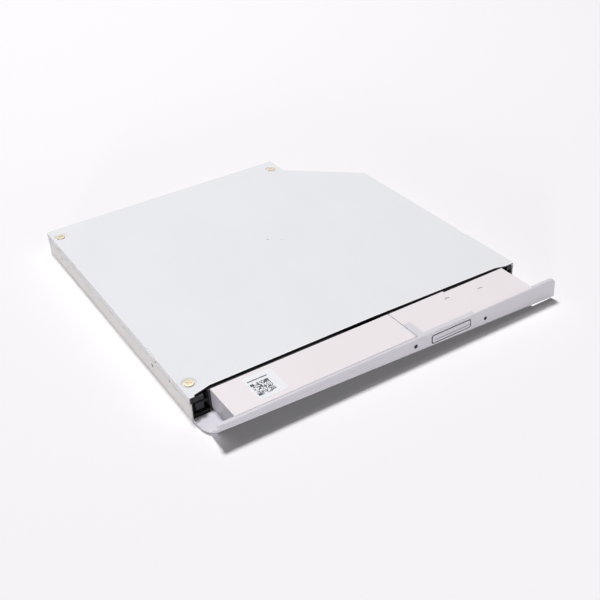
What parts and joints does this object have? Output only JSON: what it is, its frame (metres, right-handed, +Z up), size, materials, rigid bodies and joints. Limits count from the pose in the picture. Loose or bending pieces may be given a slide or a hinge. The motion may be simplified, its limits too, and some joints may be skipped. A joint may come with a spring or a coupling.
{
  "type": "slim internal dvd writer",
  "caption": "Slim tray-loading internal optical disc writer with steel casing, sliding tray on rails, deep silver bezel and eject button.",
  "frame": {"origin": "on the underside of the casing, at its centreline and the middle of its depth", "axes": "+X across the width to the right as seen from the front, -Y to the front bezel, +Z up through the top cover"},
  "size_m": [0.1326, 0.143, 0.009],
  "materials": {
    "cover_steel": "satin rolled sheet",
    "base_steel": "zinc-plated sheet",
    "screw_zinc": "yellow chromate",
    "bright_steel": "bright",
    "guide_black": "moulded",
    "tray_black": "fine spark-eroded moulding",
    "bezel_silver": "silver paint on a moulding",
    "shelf_silver": "silver paint on a moulding",
    "lens_clear": "smoked clear",
    "label_white": "blank film label",
    "board_green": "solder mask",
    "socket_cream": "moulded",
    "connector_black": "moulded",
    "flex_film": "film cable",
    "lamp_clear": "clear resin",
    "plate_steel": "plated sheet",
    "cast_zinc": "die-cast",
    "rubber_black": "moulded",
    "copper_winding": "enamelled wire",
    "lens_glass": "coated lens"
  },
  "bodies": {
    "casing": {"bottom_cover": "base_steel", "top_cover": "cover_steel", "cover_screws": "screw_zinc", "left_guide": "guide_black", "right_guide": "guide_black", "rear_board": "board_green", "sata_connector": "connector_black", "flex_socket": "socket_cream", "flex_cable": "flex_film", "latch_pin": "bright_steel"},
    "left_rail": {"left_rail": "bright_steel"},
    "right_rail": {"right_rail": "bright_steel"},
    "tray": {"tray": "tray_black", "front_bezel": "bezel_silver", "shelf_cap": "shelf_silver", "light_pipe": "lens_clear", "data_label": "label_white", "button_board": "board_green", "eject_switch": "connector_black", "lamp": "lamp_clear", "mecha_cover": "plate_steel", "deck": "cast_zinc", "damper_grommets": "rubber_black", "tray_screws": "bright_steel", "motor_base": "copper_winding", "main_shaft": "bright_steel", "sub_shaft": "bright_steel", "feed_motor": "plate_steel", "main_board": "board_green", "board_chips": "connector_black", "board_connectors": "socket_cream", "solenoid": "copper_winding"},
    "button": {"eject_button": "bezel_silver"},
    "spindle": {"rotor": "bright_steel", "turntable": "tray_black", "disc_pad": "rubber_black"},
    "lead_screw": {"lead_screw": "bright_steel"},
    "pickup": {"pickup_body": "cast_zinc", "feed_nut": "socket_cream"},
    "lens": {"lens_holder": "tray_black", "objective_lens": "lens_glass"},
    "latch": {"latch_lever": "socket_cream"},
    "plunger": {"solenoid_plunger": "bright_steel"}
  },
  "joints": [
    {"name": "tray_slide", "type": "slide", "parent": "casing", "child": "tray", "axis": [0, -1, 0], "range_m": [0, 0.125], "deforming": ["flex_cable"]},
    {"name": "left_rail_slide", "type": "slide", "parent": "casing", "child": "left_rail", "axis": [0, -1, 0], "range_m": [0, 0.0626]},
    {"name": "right_rail_slide", "type": "slide", "parent": "casing", "child": "right_rail", "axis": [0, -1, 0], "range_m": [0, 0.0626]},
    {"name": "button_press", "type": "slide", "parent": "tray", "child": "button", "axis": [0, 1, 0], "range_m": [0, 0.0005], "stiffness_N_per_m": 300},
    {"name": "spindle_spin", "type": "hinge", "parent": "tray", "child": "spindle", "pos_m": [0.0012, -0.0015, 0.004], "axis": [0, 0, 1], "continuous": true},
    {"name": "pickup_slide", "type": "slide", "parent": "tray", "child": "pickup", "axis": [-0.7071, -0.7071, 0], "range_m": [0, 0.033]},
    {"name": "screw_spin", "type": "hinge", "parent": "tray", "child": "lead_screw", "pos_m": [-0.01584, -0.04103, 0.0034], "axis": [-0.7071, -0.7071, 0], "range_deg": [-5, 3965]},
    {"name": "lens_focus", "type": "slide", "parent": "pickup", "child": "lens", "axis": [0, 0, 1], "range_m": [-0.0004, 0.0004], "stiffness_N_per_m": 60},
    {"name": "latch_pivot", "type": "hinge", "parent": "tray", "child": "latch", "pos_m": [0.044, -0.055, 0.0026], "axis": [0, 0, -1], "range_deg": [0, 14]},
    {"name": "plunger_slide", "type": "slide", "parent": "tray", "child": "plunger", "axis": [-1, 0, 0], "range_m": [0, 0.00097]}
  ],
  "couplings": [
    {"joint": "left_rail_slide", "follows": "tray_slide", "ratio": 0.5},
    {"joint": "right_rail_slide", "follows": "tray_slide", "ratio": 0.5},
    {"joint": "screw_spin", "follows": "pickup_slide", "rad_per_m": 2094.4},
    {"joint": "latch_pivot", "follows": "plunger_slide", "rad_per_m": 250}
  ]
}
